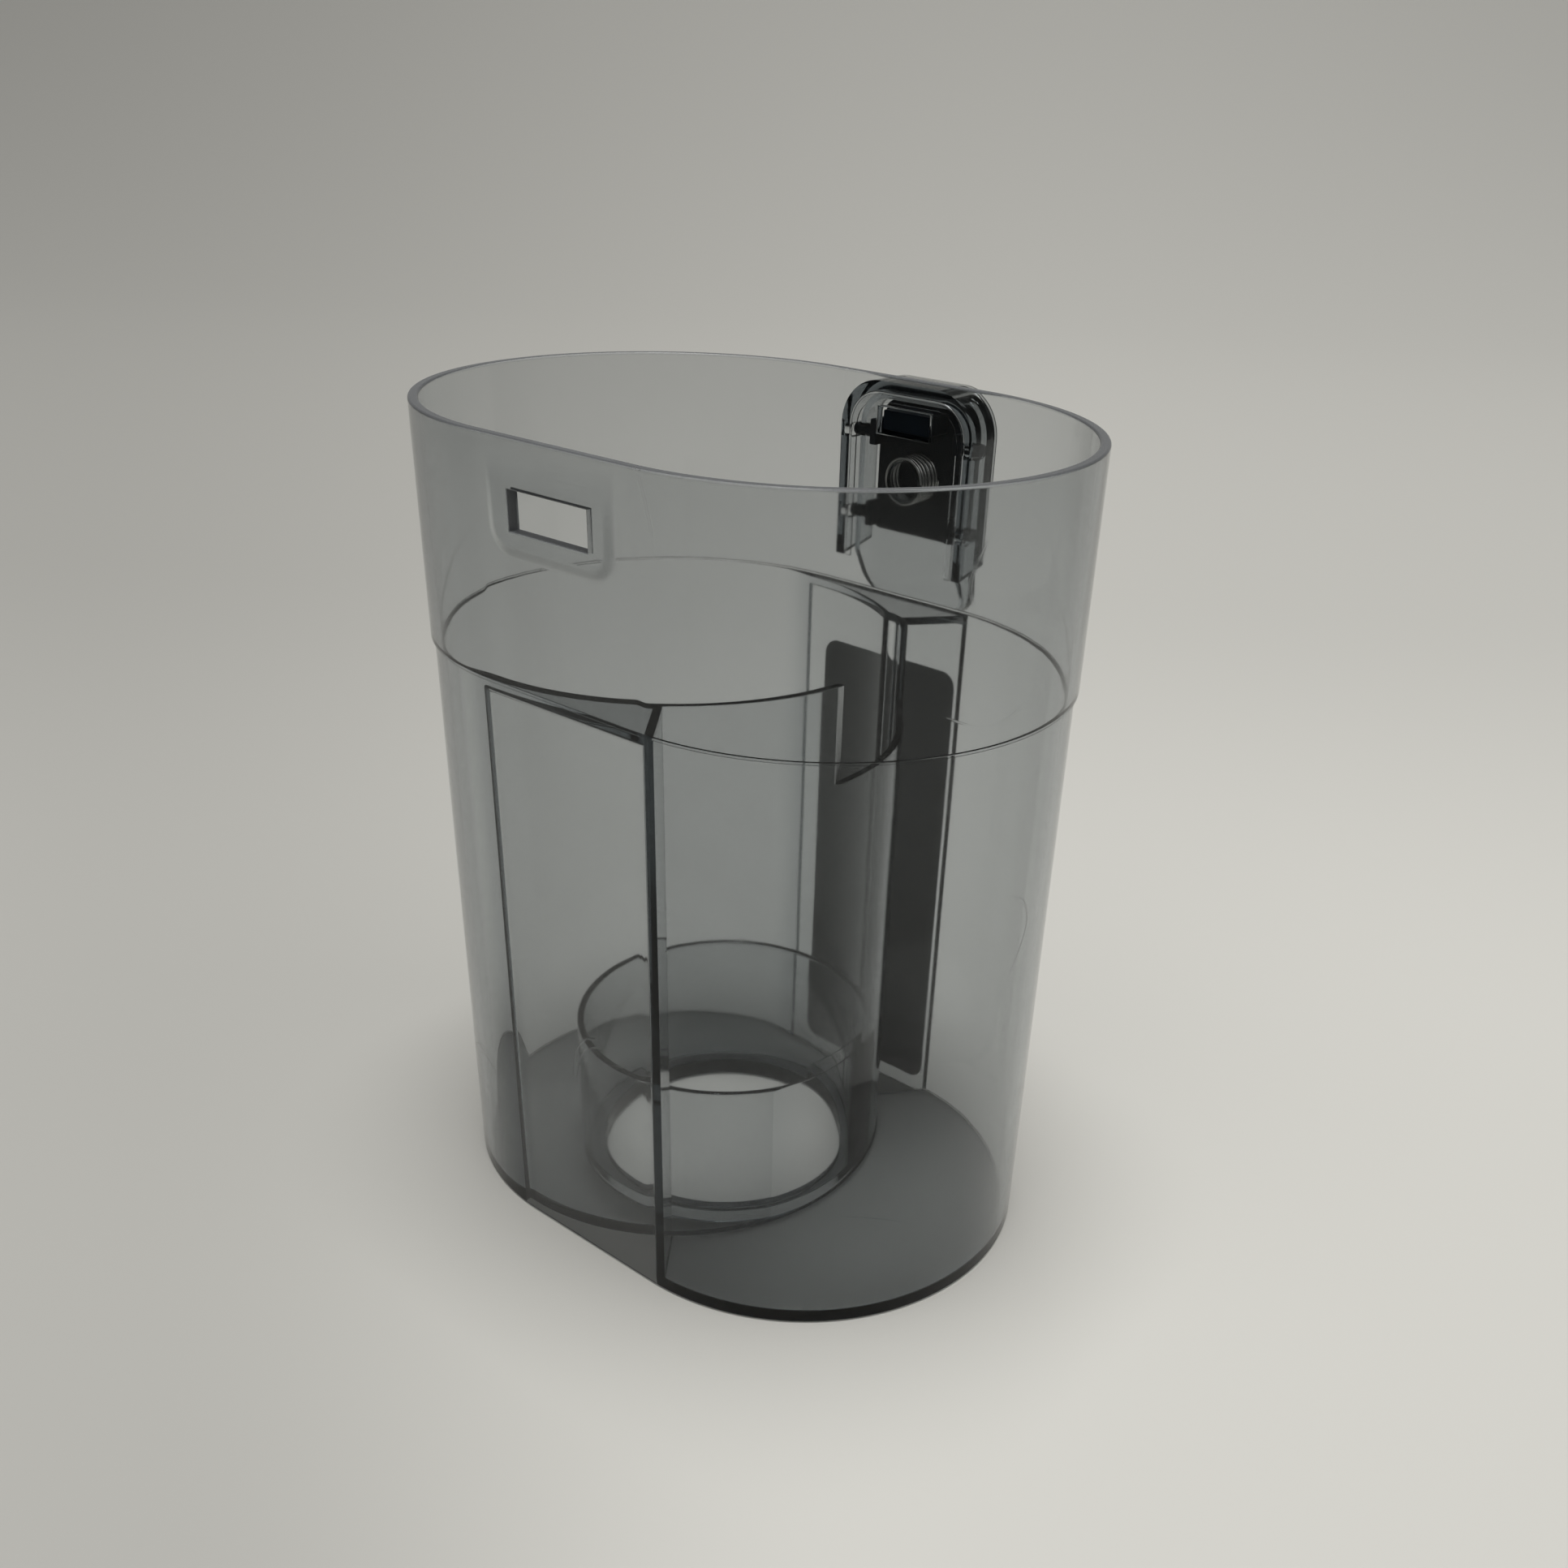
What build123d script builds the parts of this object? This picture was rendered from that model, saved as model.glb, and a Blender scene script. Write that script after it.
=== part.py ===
"""Clear cyclone dust bin with a sprung lid-release button.

One oval moulding holds a round cyclone chamber and, beside it, a dust chamber. The button slides in an
arched shroud on the back wall. The origin is the centre of the round port in the floor, at the base.
X runs along the oval, +Y points out of the back wall and Z is up. Sizes are in millimetres.
"""

import os
from math import cos, radians, sin

from build123d import *

os.makedirs("parts", exist_ok=True)

# Oval shell
rim_length = 156.0
rim_width = 114.4
bin_height = 192.6
wall = 2.2
floor_thickness = 2.4
ledge_height = 142.0
ledge_step = 0.8
rim_chamfer = 0.6
base_chamfer = 0.5

# Cyclone chamber, radial webs and the roofed pockets between them and the flat walls
partition = 1.8
cyclone_set_in = 2.2
cyclone_jog = 1.85
panel = 1.6
pocket_lead = 4.4
web = 2.0
web_angle = 51.0
roof = 2.2

# Air notch in the top of the cyclone wall, as angles about the cyclone axis
notch_from = -5.5
notch_to = 42.4
notch_depth = 23.0
notch_corner = 5.0

# Floor port, the raised seat round it and the collar on the seat
port_radius = 32.3
seat_height = 5.0
collar_radius = 38.4
collar_wall = 1.8
collar_inset = 0.1
collar_height = 42.0

# Window in the front wall and the raised pad round it
window_width = 22.0
window_height = 8.0
window_drop = 13.5
pad_beside = 5.5
pad_below = 5.7
pad_above = 4.9
pad_rise = 0.9
pad_corner = 4.0
pad_chamfer = 0.5

# Window in the back wall that the button's nose works through
nose_window_width = 15.2
nose_window_height = 6.1
nose_window_drop = 8.6

# Arched shroud on the back wall
shroud_width = 38.8
shroud_drop = 1.6
shroud_height = 42.6
shroud_slant = 2.6
shroud_depth = 11.6
shroud_wall = 2.4
shroud_corner = 11.0
shroud_round = 0.8
seat_rib_width = 1.6
seat_rib_height = 0.4
spring_boss_height = 2.0

# Button: travel, clearances, cap and core
button_travel = 3.0
button_gap = 0.6
peg_clearance = 0.15
cap_skin = 1.6
cap_back = 2.0
cap_front = 4.0
tongue_length = 16.0
tongue_flare = 2.0
tongue_lift = 3.6
tongue_corner = 7.0
skirt_lift = 0.6
core_plate = 1.6
core_width = 26.8
core_fit = 0.2
core_lift = 6.1
nose_clearance = 0.8
nose_inset = 1.0
peg_radius = 1.5
peg_depth = 1.4
peg_y = 5.2
upper_peg_drop = 12.8
lower_peg_lift = 10.3
ear_depth = 6.0
ear_thickness = 2.0
ear_half_height = 3.0
spring_post_height = 2.5

# Return spring
spring_drop = 22.0
spring_diameter = 11.4
wire_diameter = 0.75
spring_turns = 6.0
wire_sides = 5
spring_fit = 0.4

# Label on the back panel
label_width = 41.0
label_bottom = 4.0
label_top = 126.0
label_corner = 4.0
label_thickness = 0.3

# Oval places, and the cyclone wall: one radius before the pockets and a wider one between the webs
end_radius = rim_width / 2
half_straight = rim_length / 2 - end_radius
lower_radius = end_radius - ledge_step
lower_inner = lower_radius - wall
cyclone_inner = lower_inner - cyclone_set_in
cyclone_outer = cyclone_inner + partition
wide_inner = cyclone_inner + cyclone_jog
wide_outer = wide_inner + partition

# The wide stretch covers the collar on one side, and the other side touches the oval's own inner face
cyclone_x = collar_radius + collar_inset - wide_outer
left_x = cyclone_x - cyclone_inner + lower_inner
body_x = left_x + half_straight
pocket_x = left_x - pocket_lead
step_x = pocket_x - wall
web_shift = web / 2 / sin(radians(web_angle))
window_z = bin_height - window_drop
pad_bottom = window_z - window_height / 2 - pad_below
pad_top = window_z + window_height / 2 + pad_above

# Latch heights, which follow the rim through the shroud
shroud_top = bin_height - shroud_drop
shroud_bottom = shroud_top - shroud_height
nose_window_z = shroud_top - nose_window_drop
spring_z = shroud_top - spring_drop
peg_heights = (shroud_top - upper_peg_drop, shroud_bottom + lower_peg_lift)
core_bottom = shroud_bottom + core_lift
skirt_bottom = shroud_bottom + skirt_lift
tongue_start = shroud_bottom + tongue_lift
tongue_bottom = tongue_start - tongue_length

# Button places, measured out from the back wall's outer face
back = Plane(origin=(body_x, end_radius, 0), x_dir=(-1, 0, 0), z_dir=(0, 1, 0))
side = Plane(origin=(body_x, end_radius, 0), x_dir=(0, 1, 0), z_dir=(1, 0, 0))
shroud_inner_width = shroud_width - 2 * shroud_wall
shroud_inner_top = shroud_top - shroud_wall
shroud_inner_corner = shroud_corner - shroud_wall
cap_width = shroud_inner_width - 2 * button_gap
cap_top = shroud_inner_top - button_gap
cap_corner = shroud_inner_corner - button_gap
cap_inner_width = cap_width - 2 * cap_skin
core_rear = shroud_depth - cap_back
core_front = core_rear - core_plate
core_top = cap_top - cap_skin - core_fit
core_corner = cap_corner - cap_skin - core_fit
spring_post_radius = spring_diameter / 2 - wire_diameter - spring_fit


def oval(radius):
    """Oval outline of the bin with the given end radius."""
    with Locations((body_x, 0)):
        SlotCenterToCenter(2 * half_straight, 2 * radius)


def web_fan(shift, mode):
    """Wedge that opens along +X between the two web faces, moved along X by shift."""
    reach = rim_length
    tip = left_x + shift
    far_x = tip + reach * cos(radians(web_angle))
    far_y = reach * sin(radians(web_angle))
    Polygon((tip, 0), (far_x, -far_y), (far_x, far_y), align=None, mode=mode)


def arch(width, bottom, top, corner, foot=0.0):
    """Upright outline with rounded top corners and, where foot is given, rounded foot corners."""
    with Locations((0, (bottom + top) / 2)):
        outline = Rectangle(width, top - bottom)
    upper = fillet(outline.vertices().group_by(Axis.Y)[-1], radius=corner)
    if foot:
        fillet(upper.vertices().group_by(Axis.Y)[0], radius=foot)


with BuildPart() as bin_shell:
    # Oval body, set in below the ledge
    with BuildSketch(Plane.XY):
        oval(lower_radius)
    extrude(amount=ledge_height)
    chamfer(bin_shell.edges().group_by(Axis.Z)[0], length=base_chamfer)
    with BuildSketch(Plane.XY.offset(ledge_height)):
        oval(end_radius)
    extrude(amount=bin_height - ledge_height)

    # Raised pad on the front wall
    with BuildSketch(Plane.XZ.offset(end_radius)):
        with Locations((body_x, (pad_bottom + pad_top) / 2)):
            RectangleRounded(window_width + 2 * pad_beside, pad_top - pad_bottom, pad_corner)
    extrude(amount=pad_rise)
    chamfer(bin_shell.faces().sort_by(Axis.Y)[0].edges(), length=pad_chamfer)

    # Arched shroud on the back wall, open at the back and below
    with BuildSketch(back.offset(-wall / 2)):
        arch(shroud_width, shroud_bottom, shroud_top, shroud_corner)
    extrude(amount=shroud_depth + wall / 2)
    with BuildSketch(back):
        arch(shroud_inner_width, shroud_bottom, shroud_inner_top, shroud_inner_corner)
    extrude(amount=shroud_depth, mode=Mode.SUBTRACT)
    with BuildSketch(side):
        foot = (shroud_depth, shroud_bottom)
        heel = (shroud_depth, shroud_bottom + shroud_slant)
        Polygon((0, shroud_bottom), foot, heel, align=None)
    extrude(amount=shroud_width / 2, both=True, mode=Mode.SUBTRACT)
    fillet(bin_shell.faces().sort_by(Axis.Y)[-1].edges(), radius=shroud_round)

    # Seat rib and spring boss inside the shroud
    with BuildSketch(back):
        arch(cap_width, shroud_bottom, cap_top, cap_corner)
    extrude(amount=seat_rib_height)
    with BuildSketch(back):
        rib_opening = cap_width - 2 * seat_rib_width
        arch(rib_opening, shroud_bottom, cap_top - seat_rib_width, cap_corner - seat_rib_width)
    extrude(amount=seat_rib_height, mode=Mode.SUBTRACT)
    with BuildSketch(back):
        with Locations((0, spring_z)):
            Circle(spring_post_radius)
    extrude(amount=spring_boss_height)

    # Blind slots for the guide pegs
    with BuildSketch(side):
        slot_length = button_travel + peg_clearance
        for height in peg_heights:
            with Locations((peg_y - slot_length / 2 + peg_clearance / 2, height)):
                SlotCenterToCenter(slot_length, 2 * (peg_radius + peg_clearance))
    extrude(amount=shroud_inner_width / 2 + peg_depth + peg_clearance, both=True, mode=Mode.SUBTRACT)

    # Upper cavity down to the ledge
    with BuildSketch(Plane.XY.offset(ledge_height)):
        oval(end_radius - wall)
    extrude(amount=bin_height - ledge_height, mode=Mode.SUBTRACT)
    chamfer(bin_shell.edges().group_by(Axis.Z)[-1], length=rim_chamfer)

    # Cyclone chamber: round before the pockets, with a step out to the wide stretch at the webs
    with BuildSketch(Plane.XY.offset(floor_thickness)):
        with Locations((cyclone_x, 0)):
            Circle(wide_inner)
        web_fan(0, Mode.INTERSECT)
        with Locations((cyclone_x, 0)):
            Circle(cyclone_inner)
    extrude(amount=ledge_height - floor_thickness, mode=Mode.SUBTRACT)

    # Beyond the pockets the chamber follows the oval's own wall
    with BuildSketch(Plane.XY.offset(floor_thickness)):
        oval(lower_inner)
        with Locations((step_x, 0)):
            Rectangle(rim_length, rim_width, align=(Align.MIN, Align.CENTER), mode=Mode.SUBTRACT)
    extrude(amount=ledge_height - floor_thickness, mode=Mode.SUBTRACT)

    # Dust chamber between the webs, the cyclone wall and the oval
    with BuildSketch(Plane.XY.offset(floor_thickness)):
        oval(lower_inner)
        web_fan(web_shift, Mode.INTERSECT)
        with Locations((cyclone_x, 0)):
            Circle(wide_outer, mode=Mode.SUBTRACT)
    extrude(amount=ledge_height - floor_thickness, mode=Mode.SUBTRACT)

    # Pockets behind the flat walls, open below and roofed at the ledge
    with BuildSketch(Plane.XY):
        with Locations((pocket_x, 0)):
            Rectangle(end_radius, 2 * (lower_radius - panel), align=(Align.MIN, Align.CENTER))
        with Locations((cyclone_x, 0)):
            Circle(cyclone_outer, mode=Mode.SUBTRACT)
        web_fan(-web_shift, Mode.SUBTRACT)
    extrude(amount=ledge_height - roof, mode=Mode.SUBTRACT)

    # Collar on its raised seat, and the port through the seat
    with BuildSketch(Plane.XY.offset(floor_thickness)):
        Circle(collar_radius)
    extrude(amount=collar_height - floor_thickness)
    with BuildSketch(Plane.XY.offset(seat_height)):
        Circle(collar_radius - collar_wall)
    extrude(amount=collar_height - seat_height, mode=Mode.SUBTRACT)
    with BuildSketch(Plane.XY):
        Circle(port_radius)
    extrude(amount=seat_height, mode=Mode.SUBTRACT)

    # Air notch from the cyclone chamber into the dust chamber
    half_notch = radians(notch_to - notch_from) / 2
    notch_middle = radians(notch_to + notch_from) / 2
    notch_plane = Plane(
        origin=(cyclone_x, 0, ledge_height),
        x_dir=(-sin(notch_middle), cos(notch_middle), 0),
        z_dir=(cos(notch_middle), sin(notch_middle), 0),
    )
    notch_start = wide_inner * cos(half_notch) - wall
    with BuildSketch(notch_plane.offset(notch_start)) as notch_outline:
        with Locations((0, -notch_depth / 2)):
            Rectangle(2 * wide_outer * sin(half_notch), notch_depth)
        fillet(notch_outline.vertices().group_by(Axis.Y)[0].sort_by(Axis.X)[-1], radius=notch_corner)
    extrude(amount=wide_outer + wall - notch_start, mode=Mode.SUBTRACT)

    # Front window, and the back window for the nose
    with BuildSketch(Plane.XZ.offset(end_radius + pad_rise)):
        with Locations((body_x, window_z)):
            Rectangle(window_width, window_height)
    extrude(amount=-(pad_rise + 2 * wall), mode=Mode.SUBTRACT)
    with BuildSketch(back):
        with Locations((0, nose_window_z)):
            Rectangle(nose_window_width, nose_window_height)
    extrude(amount=-2 * wall, mode=Mode.SUBTRACT)

bin_shell.part.label = "bin_shell"
export_step(bin_shell.part, "parts/bin_shell.step")

# Hollow of the cap: its plan and side outlines lie one skin inside the cap's
with BuildPart() as cap_hollow:
    with BuildSketch(back):
        arch(
            cap_inner_width,
            tongue_bottom + cap_skin,
            cap_top - cap_skin,
            cap_corner - cap_skin,
            tongue_corner - cap_skin,
        )
    extrude(amount=shroud_depth + tongue_flare)
    with BuildSketch(side):
        Polygon(
            (0, cap_top),
            (core_rear, cap_top),
            (core_rear, tongue_start),
            (core_rear + tongue_flare, tongue_bottom),
            (0, tongue_bottom),
            align=None,
        )
    extrude(amount=cap_width / 2, both=True, mode=Mode.INTERSECT)

with BuildPart() as release_button:
    with BuildSketch(back):
        arch(cap_width, tongue_bottom, cap_top, cap_corner, tongue_corner)
    extrude(amount=shroud_depth + tongue_flare)
    with BuildSketch(side):
        Polygon(
            (cap_front, cap_top),
            (shroud_depth, cap_top),
            (shroud_depth, tongue_start),
            (shroud_depth + tongue_flare, tongue_bottom),
            (core_rear + tongue_flare, tongue_bottom),
            (cap_front, skirt_bottom),
            align=None,
        )
    extrude(amount=cap_width / 2, both=True, mode=Mode.INTERSECT)
    add(cap_hollow.part, mode=Mode.SUBTRACT)
    with BuildSketch(side):
        with Locations(*[(peg_y, height) for height in peg_heights]):
            Circle(peg_radius)
    extrude(amount=cap_width / 2, both=True, mode=Mode.SUBTRACT)

release_button.part.label = "release_button"
export_step(release_button.part, "parts/release_button.step")

with BuildPart() as button_core:
    # Plate on the inside of the cap's back
    with BuildSketch(back.offset(core_front)):
        arch(core_width, core_bottom, core_top, core_corner)
    extrude(amount=core_plate)

    # Nose that reaches into the back window
    with BuildSketch(back.offset(-nose_inset)):
        with Locations((0, nose_window_z)):
            Rectangle(nose_window_width - 2 * nose_clearance, nose_window_height - 2 * nose_clearance)
    extrude(amount=core_front + nose_inset)

    # Post inside the spring
    with BuildSketch(back.offset(core_front - spring_post_height)):
        with Locations((0, spring_z)):
            Circle(spring_post_radius)
    extrude(amount=spring_post_height)

    # Ears that carry the guide pegs, one pair for each height
    for height in peg_heights:
        with BuildSketch(back.offset(core_rear - ear_depth)):
            with Locations(
                ((core_width - ear_thickness) / 2, height),
                (-(core_width - ear_thickness) / 2, height),
            ):
                Rectangle(ear_thickness, 2 * ear_half_height)
        extrude(amount=ear_depth)
    for end in (1, -1):
        with BuildSketch(side.offset(end * (core_width / 2 - ear_thickness / 2))):
            with Locations(*[(peg_y, height) for height in peg_heights]):
                Circle(peg_radius)
        extrude(amount=end * (shroud_inner_width / 2 + peg_depth - core_width / 2 + ear_thickness / 2))

button_core.part.label = "button_core"
export_step(button_core.part, "parts/button_core.step")

with BuildPart() as return_spring:
    coil_length = core_front - wire_diameter
    with BuildLine() as coil:
        Helix(
            pitch=coil_length / spring_turns,
            height=coil_length,
            radius=(spring_diameter - wire_diameter) / 2,
            center=(body_x, end_radius + wire_diameter / 2, spring_z),
            direction=(0, 1, 0),
        )
    with BuildSketch(Plane(origin=coil.line @ 0, z_dir=coil.line % 0)):
        RegularPolygon(wire_diameter / 2, wire_sides)
    sweep(is_frenet=True)

return_spring.part.label = "return_spring"
export_step(return_spring.part, "parts/return_spring.step")

with BuildPart() as back_label:
    with BuildSketch(back.offset(-ledge_step)):
        with Locations((0, (label_bottom + label_top) / 2)):
            RectangleRounded(label_width, label_top - label_bottom, label_corner)
    extrude(amount=label_thickness)

back_label.part.label = "back_label"
export_step(back_label.part, "parts/back_label.step")
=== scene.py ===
from math import acos, atan2, cos, pi, radians, sin, sqrt, tan

import bmesh
import bpy
from bpy.props import FloatProperty, FloatVectorProperty, PointerProperty
from bpy.types import Operator, Panel, PropertyGroup
from mathutils import Matrix, Vector


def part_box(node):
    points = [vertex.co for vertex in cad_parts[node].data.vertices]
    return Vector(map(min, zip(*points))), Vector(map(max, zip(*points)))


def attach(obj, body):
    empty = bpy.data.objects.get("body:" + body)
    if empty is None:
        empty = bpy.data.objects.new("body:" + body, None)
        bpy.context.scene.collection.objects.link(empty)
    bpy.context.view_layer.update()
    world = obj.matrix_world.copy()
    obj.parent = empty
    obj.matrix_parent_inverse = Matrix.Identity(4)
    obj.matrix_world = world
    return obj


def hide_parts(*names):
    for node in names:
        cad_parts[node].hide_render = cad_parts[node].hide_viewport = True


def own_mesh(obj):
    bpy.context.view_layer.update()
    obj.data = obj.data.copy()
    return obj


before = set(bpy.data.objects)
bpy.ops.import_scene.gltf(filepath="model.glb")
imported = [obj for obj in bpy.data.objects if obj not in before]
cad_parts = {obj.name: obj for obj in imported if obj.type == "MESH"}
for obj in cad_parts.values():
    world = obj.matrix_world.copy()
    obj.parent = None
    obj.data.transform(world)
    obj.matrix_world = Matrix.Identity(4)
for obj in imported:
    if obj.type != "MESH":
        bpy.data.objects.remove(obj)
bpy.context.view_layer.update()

bl_info = {
    "name": "Cyclone dust bin",
    "version": (1, 0, 0),
    "blender": (4, 5, 0),
    "location": "3D View > Sidebar > Dust bin",
    "description": "Dresses the packed dust bin: clear smoke shell, sprung release button, label and stage",
    "category": "Add Mesh",
}

SHELL_HIGH = Vector(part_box("bin_shell")[1])

# Camera, fitted to the photo in its pixels
IMAGE_SIDE = 1932
FOCAL_PIXELS = 1868.62
CENTRE_PIXELS = 999.957, 1238.635
CAMERA_SPOT = 0.22843, -0.25296, 0.25343
AZIMUTH, ELEVATION, ROLL = 0.66859, 0.55258, 0.03921
SENSOR = 36.0

# Fineness of curves
ARC_STEPS = 88
ROUND_STEPS = 4
EASE_STEPS = 24
SLOPE_STEPS = 16
POCKET_STEPS = 120
SWEEP_STEPS = 48
SPRING_POINTS = 600
WIRE_SIDES = 14

# How far a cutting solid reaches past what it cuts, and a hair's breadth that keeps faces apart
REACH = 0.004
HAIR = 0.0001

# Where the cyclone wall steps past a web, and where it runs into the oval's own wall
WEB_EASE = radians(0.3), radians(3.3)
WALL_EASE = radians(89.6), radians(103.6)

# Corners flatter than this aren't rounded, and a round takes at most this share of a side
FLAT_BEND = radians(150.0)
SIDE_SHARE = 0.45

# How far the pad's rise fades, a little past flush with the wall
PAST_FLUSH = 1.06

# The floor's half width, its front edge and its drop below the base
FLOOR_HALF, FLOOR_FRONT, FLOOR_DROP = 30.0, -12.0, 0.0002

# Where the floor's painted shade starts and is full: to the left as a slope, to the back in metres
LEFT_SHADE_EDGES = 0.2, -0.5
BACK_SHADE_EDGES = -0.05, -0.55


def length(description, default):
    return FloatProperty(description=description, default=default, unit="LENGTH", precision=5)


def angle(description, degrees):
    return FloatProperty(description=description, default=radians(degrees), subtype="ANGLE")


def amount(description, default):
    return FloatProperty(description=description, default=default, min=0.0)


def share(description, default):
    return FloatProperty(description=description, default=default, min=0.0, max=1.0, subtype="FACTOR")


def colour(description, default):
    return FloatVectorProperty(description=description, default=default, min=0.0, max=1.0, subtype="COLOR")


class ShellSizes(PropertyGroup):
    """Sizes of the one-piece clear moulding."""

    rim_length: length("Length of the oval at the rim", 0.156)
    rim_width: length("Width of the oval at the rim", 0.1144)
    height: length("Height of the moulding", SHELL_HIGH.z)
    wall: length("Thickness of the outer wall", 0.0022)
    floor: length("Thickness of the floor", 0.0024)
    ledge_height: length("Height of the ledge the lid rests on", 0.142)
    ledge_step: length("How far the lower wall is set in", 0.0008)
    rim_round: length("Radius on the rim's edges", 0.0005)
    base_round: length("Radius on the base's edge", 0.0006)
    edge_round: length("Radius on the small moulded edges", 0.0003)
    partition: length("Thickness of the cyclone wall", 0.0018)
    set_in: length("How much smaller the cyclone chamber is than the oval's own inside", 0.0022)
    jog: length("How far the cyclone wall steps out between the webs", 0.00185)
    panel: length("Thickness of the flat wall outside a pocket", 0.0013)
    pocket_wall: length("Thickness of the cyclone wall before a pocket", 0.0015)
    pocket_round: length("Radius in a pocket's outer upright corners", 0.0003)
    roof_round: length("Radius between a pocket's roof and the flat wall", 0.0008)
    pocket_lead: length("How far a pocket starts before the middle of the oval's end", 0.0044)
    web: length("Thickness of the radial webs", 0.002)
    web_angle: angle("Angle of the webs to the long axis", 51.0)
    roof: length("Thickness of the roof over a pocket", 0.0022)
    notch_from: angle("Where the air notch starts round the cyclone axis", -5.5)
    notch_to: angle("Where the air notch ends round the cyclone axis", 42.4)
    notch_depth: length("Depth of the air notch below the ledge", 0.023)
    notch_corner: length("Radius in the notch's lower corner", 0.005)
    port_radius: length("Radius of the round port in the floor", 0.0323)
    seat_height: length("Height of the raised seat round the port", 0.005)
    collar_radius: length("Outer radius of the collar", 0.0384)
    collar_wall: length("Thickness of the collar", 0.0018)
    collar_inset: length("How far the collar lies inside the cyclone wall's outer face", 0.0001)
    collar_height: length("Height of the collar's top edge", 0.042)
    window_width: length("Width of the front window", 0.022)
    window_height: length("Height of the front window", 0.008)
    window_z: length("Height of the front window's middle", 0.1791)
    pad_width: length("Width of the raised pad round the window", 0.033)
    pad_bottom: length("Lower edge of the pad", 0.171)
    pad_top: length("Upper edge of the pad", SHELL_HIGH.z - 0.0009)
    pad_fade: length("Height where the pad's rise starts to fade", 0.1835)
    pad_rise: length("How far the pad stands out", 0.0007)
    pad_blend: length("Width of the slope that blends the pad into the wall", 0.0028)
    pad_corner: length("Radius of the pad's corners", 0.005)


class LatchSizes(PropertyGroup):
    """Sizes of the shroud on the back wall and of the button in it."""

    shroud_width: length("Outer width of the shroud", 0.0388)
    shroud_top: length("Height of the shroud's top", 0.191)
    shroud_bottom: length("Height of the shroud's lower edge at the wall", 0.1484)
    shroud_slant: length("Rise of the lower edge towards the back", 0.0026)
    shroud_depth: length("How far the shroud stands out", 0.0116)
    shroud_wall: length("Thickness of the shroud", 0.0024)
    shroud_corner: length("Radius of the shroud's top corners", 0.011)
    shroud_round: length("Radius on the shroud's rear edges", 0.0011)
    rib_width: length("Width of the low rib inside the shroud", 0.0016)
    rib_height: length("Height of the low rib inside the shroud", 0.0004)
    boss_height: length("Height of the spring's boss on the wall", 0.002)
    nose_window_width: length("Width of the window in the back wall", 0.0152)
    nose_window_height: length("Height of the window in the back wall", 0.0061)
    nose_window_z: length("Height of the nose window's middle", 0.1824)
    travel: length("How far the button presses in", 0.003)
    gap: length("Gap between the button and the shroud", 0.0006)
    peg_clearance: length("Clearance of the guide pegs in their slots", 0.00015)
    cap_skin: length("Thickness of the cap's sides", 0.0016)
    cap_back: length("Thickness of the cap's back", 0.002)
    cap_front: length("Gap from the wall to the cap's front edge", 0.004)
    tongue_bottom: length("Height of the tongue's lower end", 0.136)
    tongue_flare: length("How far the tongue leans out", 0.002)
    tongue_start: length("Height where the tongue starts to lean out", 0.152)
    tongue_corner: length("Radius of the tongue's lower corners", 0.007)
    skirt_bottom: length("Height of the skirt's lower front corner", 0.149)
    core_plate: length("Thickness of the black core's plate", 0.0016)
    core_width: length("Width of the black core", 0.0268)
    core_fit: length("Gap between the core and the cap's sides", 0.0002)
    core_bottom: length("Height of the core's lower edge", 0.1545)
    nose_clearance: length("Gap round the nose in its window", 0.0008)
    nose_inset: length("How far the nose reaches into the wall", 0.001)
    peg_radius: length("Radius of the guide pegs", 0.0015)
    peg_depth: length("How far a peg reaches into the shroud's wall", 0.0014)
    peg_out: length("Distance of the pegs from the wall", 0.0052)
    peg_upper: length("Height of the upper pegs", 0.1782)
    peg_lower: length("Height of the lower pegs", 0.1587)
    ear_depth: length("Depth of the ears that carry the pegs", 0.006)
    ear_thickness: length("Thickness of the ears", 0.002)
    ear_half_height: length("Half the height of the ears", 0.003)
    post_height: length("Height of the spring's post on the core", 0.0025)
    spring_z: length("Height of the spring's axis", 0.169)
    spring_diameter: length("Outer diameter of the spring", 0.0114)
    wire: length("Diameter of the spring's wire", 0.00075)
    turns: amount("Turns of the spring", 6.0)
    close: amount("How far the spring's end turns close up", 0.055)
    seat: amount("Height of an end turn's middle over its seat, in wire thicknesses", 0.56)
    spring_fit: length("Gap between the spring and its post", 0.0004)


class LabelSizes(PropertyGroup):
    """Sizes of the film label on the back panel."""

    width: length("Width of the label", 0.041)
    bottom: length("Height of the label's lower edge", 0.004)
    top: length("Height of the label's upper edge", 0.126)
    corner: length("Radius of the label's corners", 0.004)
    thickness: length("Thickness of the film", 0.0003)
    lift: length("Thin bed between the film and the panel", 0.00004)


class BinFinishes(PropertyGroup):
    """Colours and finishes."""

    smoke: colour("Colour that the clear plastic lets through", (0.345, 0.385, 0.41))
    smoke_density: amount("How quickly the clear plastic darkens, per metre", 215.0)
    smoke_ior: amount("Refraction of the clear plastic", 1.53)
    smoke_gloss: share("Strength of the clear plastic's mirror gloss", 0.35)
    bloom: colour("Colour of the matte bloom on the rim and the front window's edges", (0.36, 0.37, 0.38))
    bloom_share: share("How much of those edges' look is bloom", 0.4)
    bloom_start: length("How far below the rim's top the bloom starts", 0.0007)
    bloom_full: length("How far below the rim's top the bloom is full", 0.0002)
    core: colour("Colour of the black core", (0.0025, 0.005, 0.008))
    steel: colour("Colour of the spring wire", (0.78, 0.76, 0.72))
    film: colour("Colour of the label film", (0.05, 0.056, 0.058))


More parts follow.
